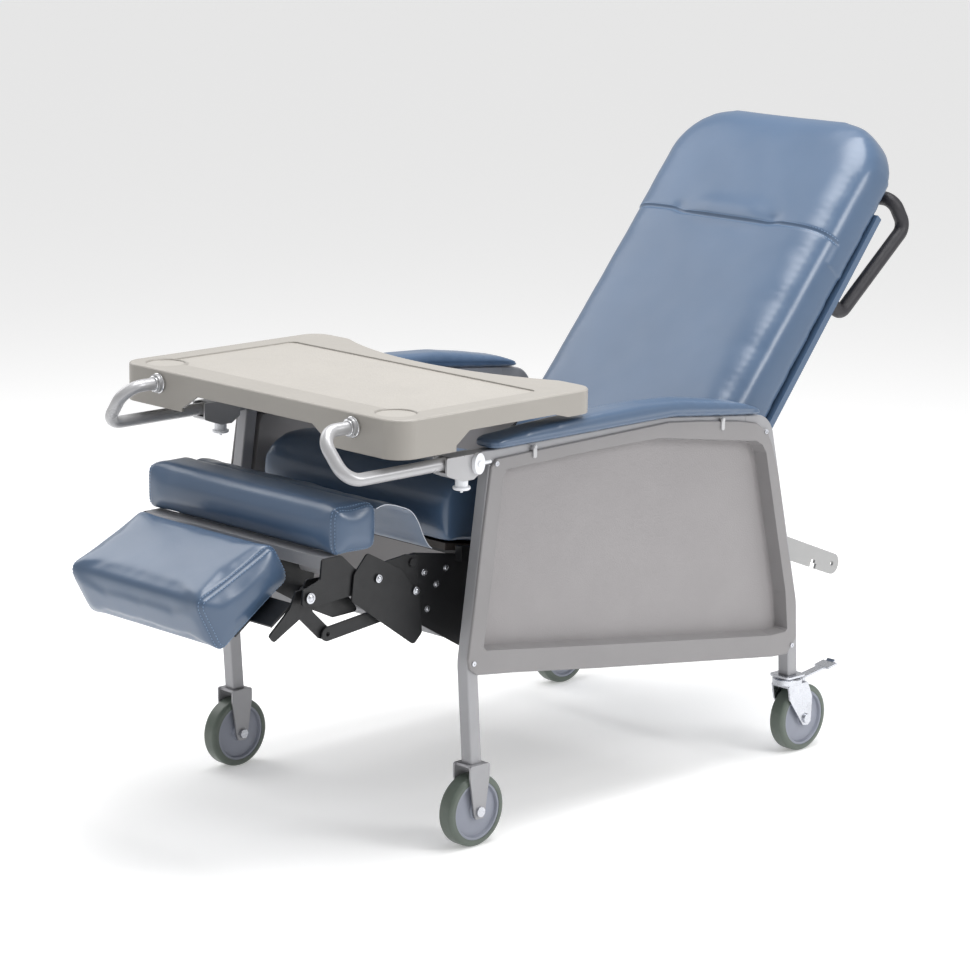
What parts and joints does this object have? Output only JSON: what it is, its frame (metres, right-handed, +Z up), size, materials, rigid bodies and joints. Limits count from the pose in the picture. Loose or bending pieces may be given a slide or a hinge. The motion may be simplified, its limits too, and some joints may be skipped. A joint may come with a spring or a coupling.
{
  "type": "patient recliner chair",
  "caption": "Wheeled recliner for ward use with a folding leg rest, over-lap tray, boxed side panels and a push handle.",
  "frame": {"origin": "on the floor, midway between the chair's ends and sides", "axes": "+Z up; the chair faces -Y; +X is the occupant's left"},
  "size_m": [0.72, 1.691, 1.1343],
  "materials": {
    "frame_paint": "satin powder coat",
    "zinc": "bright zinc plate",
    "panel_plastic": "grained, moulded",
    "clip_plastic": "moulded",
    "vinyl": "semi-gloss upholstery vinyl",
    "plywood": "raw plywood",
    "black_steel": "satin black powder coat",
    "bar_paint": "satin powder coat",
    "grip_foam": "moulded foam skin",
    "tray_plastic": "grained, blow-moulded",
    "tray_tube_paint": "gloss powder coat",
    "lock_plastic": "moulded nylon",
    "tread": "moulded polyurethane",
    "hub_plastic": "moulded nylon"
  },
  "bodies": {
    "frame": {"front_leg_left": "frame_paint", "front_leg_right": "frame_paint", "arm_rail_left": "frame_paint", "arm_rail_right": "frame_paint", "rear_leg_left": "frame_paint", "rear_leg_right": "frame_paint", "front_fork_left": "frame_paint", "front_fork_right": "frame_paint", "side_panel_left": "panel_plastic", "side_panel_right": "panel_plastic", "arm_pad_left": "vinyl", "arm_pad_right": "vinyl", "tray_collar_left": "tray_tube_paint", "tray_collar_right": "tray_tube_paint", "lower_rails": "frame_paint", "cross_tubes": "frame_paint", "front_axles": "zinc", "caster_heads": "zinc", "panel_screws": "zinc", "seat_cushion": "vinyl", "seat_deck": "plywood", "seat_frame": "black_steel", "mech_plates": "black_steel", "rear_supports": "black_steel", "vinyl_flap": "vinyl"},
    "back": {"back_cushion": "vinyl", "back_board": "vinyl", "back_frame": "black_steel", "push_handle": "grip_foam"},
    "leg_arm": {"leg_arms": "black_steel", "guard_plates": "black_steel", "leg_crossbar": "zinc", "upper_pad": "vinyl"},
    "foot": {"foot_brackets": "black_steel", "foot_pad": "vinyl"},
    "link": {"lower_links": "black_steel"},
    "tray": {"tray_top": "tray_plastic", "tray_tubes": "tray_tube_paint"},
    "recline_bar_left": {"recline_bar_left": "bar_paint"},
    "front_wheel_left": {"front_tyre_left": "tread", "front_hub_left": "hub_plastic"},
    "caster_left": {"caster_fork_left": "zinc"},
    "rear_wheel_left": {"rear_tyre_left": "tread", "rear_hub_left": "hub_plastic"},
    "brake_left": {"brake_pedal_left": "zinc"},
    "knob_left": {"lock_knob_left": "lock_plastic"},
    "paddle_left": {"lock_paddle_left": "lock_plastic"},
    "clip_front_left": {"panel_clip_front_left": "clip_plastic"},
    "clip_rear_left": {"panel_clip_rear_left": "clip_plastic"},
    "recline_bar_right": {"recline_bar_right": "bar_paint"},
    "front_wheel_right": {"front_tyre_right": "tread", "front_hub_right": "hub_plastic"},
    "caster_right": {"caster_fork_right": "zinc"},
    "rear_wheel_right": {"rear_tyre_right": "tread", "rear_hub_right": "hub_plastic"},
    "brake_right": {"brake_pedal_right": "zinc"},
    "knob_right": {"lock_knob_right": "lock_plastic"},
    "paddle_right": {"lock_paddle_right": "lock_plastic"},
    "clip_front_right": {"panel_clip_front_right": "clip_plastic"},
    "clip_rear_right": {"panel_clip_rear_right": "clip_plastic"}
  },
  "joints": [
    {"name": "back_recline", "type": "hinge", "parent": "frame", "child": "back", "pos_m": [0, 0.278, 0.52], "axis": [1, 0, 0], "range_deg": [0, 27]},
    {"name": "legrest_fold", "type": "hinge", "parent": "frame", "child": "leg_arm", "pos_m": [0, -0.434, 0.494], "axis": [1, 0, 0], "range_deg": [0, 80], "deforming": ["vinyl_flap"]},
    {"name": "foot_turn", "type": "hinge", "parent": "leg_arm", "child": "foot", "pos_m": [0, -0.662, 0.47], "axis": [1, 0, 0], "range_deg": [-15, 0]},
    {"name": "link_swing", "type": "hinge", "parent": "frame", "child": "link", "pos_m": [0, -0.452, 0.415], "axis": [1, 0, 0], "range_deg": [0, 117.2]},
    {"name": "tray_slide", "type": "slide", "parent": "frame", "child": "tray", "axis": [0, 1, 0], "range_m": [-0.1, 0.1]},
    {"name": "recline_bar_left_turn", "type": "hinge", "parent": "back", "child": "recline_bar_left", "pos_m": [0.285, 0.244, 0.4705], "axis": [1, 0, 0], "range_deg": [-27, 0]},
    {"name": "front_wheel_left_spin", "type": "hinge", "parent": "frame", "child": "front_wheel_left", "pos_m": [0.3125, -0.363, 0.0635], "axis": [1, 0, 0], "continuous": true},
    {"name": "caster_left_swivel", "type": "hinge", "parent": "frame", "child": "caster_left", "pos_m": [0.3125, 0.454, 0.14], "axis": [0, 0, 1], "continuous": true},
    {"name": "rear_wheel_left_spin", "type": "hinge", "parent": "caster_left", "child": "rear_wheel_left", "pos_m": [0.3125, 0.486, 0.0635], "axis": [1, 0, 0], "continuous": true},
    {"name": "brake_left_press", "type": "hinge", "parent": "caster_left", "child": "brake_left", "pos_m": [0.3125, 0.485, 0.1375], "axis": [1, 0, 0], "range_deg": [-10, 0]},
    {"name": "tray_lock_left_pull", "type": "slide", "parent": "frame", "child": "knob_left", "axis": [0, 0, -1], "range_m": [0, 0.008], "stiffness_N_per_m": 400, "springref_m": -0.01},
    {"name": "tray_paddle_left_turn", "type": "hinge", "parent": "frame", "child": "paddle_left", "pos_m": [0.3338, -0.376, 0.6713], "axis": [1, 0, 0], "range_deg": [0, 90]},
    {"name": "clip_front_left_turn", "type": "hinge", "parent": "frame", "child": "clip_front_left", "pos_m": [0.3323, -0.242, 0.681], "axis": [1, 0, 0], "range_deg": [-90, 90]},
    {"name": "clip_rear_left_turn", "type": "hinge", "parent": "frame", "child": "clip_rear_left", "pos_m": [0.3323, 0.232, 0.666], "axis": [1, 0, 0], "range_deg": [-90, 90]},
    {"name": "recline_bar_right_turn", "type": "hinge", "parent": "back", "child": "recline_bar_right", "pos_m": [-0.285, 0.244, 0.4705], "axis": [1, 0, 0], "range_deg": [-27, 0]},
    {"name": "front_wheel_right_spin", "type": "hinge", "parent": "frame", "child": "front_wheel_right", "pos_m": [-0.3125, -0.363, 0.0635], "axis": [1, 0, 0], "continuous": true},
    {"name": "caster_right_swivel", "type": "hinge", "parent": "frame", "child": "caster_right", "pos_m": [-0.3125, 0.454, 0.14], "axis": [0, 0, 1], "continuous": true},
    {"name": "rear_wheel_right_spin", "type": "hinge", "parent": "caster_right", "child": "rear_wheel_right", "pos_m": [-0.3125, 0.486, 0.0635], "axis": [1, 0, 0], "continuous": true},
    {"name": "brake_right_press", "type": "hinge", "parent": "caster_right", "child": "brake_right", "pos_m": [-0.3125, 0.485, 0.1375], "axis": [1, 0, 0], "range_deg": [-10, 0]},
    {"name": "tray_lock_right_pull", "type": "slide", "parent": "frame", "child": "knob_right", "axis": [0, 0, -1], "range_m": [0, 0.008], "stiffness_N_per_m": 400, "springref_m": -0.01},
    {"name": "tray_paddle_right_turn", "type": "hinge", "parent": "frame", "child": "paddle_right", "pos_m": [-0.3338, -0.376, 0.6713], "axis": [1, 0, 0], "range_deg": [0, 90]},
    {"name": "clip_front_right_turn", "type": "hinge", "parent": "frame", "child": "clip_front_right", "pos_m": [-0.3323, -0.242, 0.681], "axis": [1, 0, 0], "range_deg": [-90, 90]},
    {"name": "clip_rear_right_turn", "type": "hinge", "parent": "frame", "child": "clip_rear_right", "pos_m": [-0.3323, 0.232, 0.666], "axis": [1, 0, 0], "range_deg": [-90, 90]}
  ],
  "couplings": [
    {"joint": "foot_turn", "follows": "legrest_fold", "ratio": -0.1875},
    {"joint": "link_swing", "follows": "legrest_fold", "ratio": 1.465},
    {"joint": "recline_bar_left_turn", "follows": "back_recline", "ratio": -1},
    {"joint": "recline_bar_right_turn", "follows": "back_recline", "ratio": -1}
  ]
}
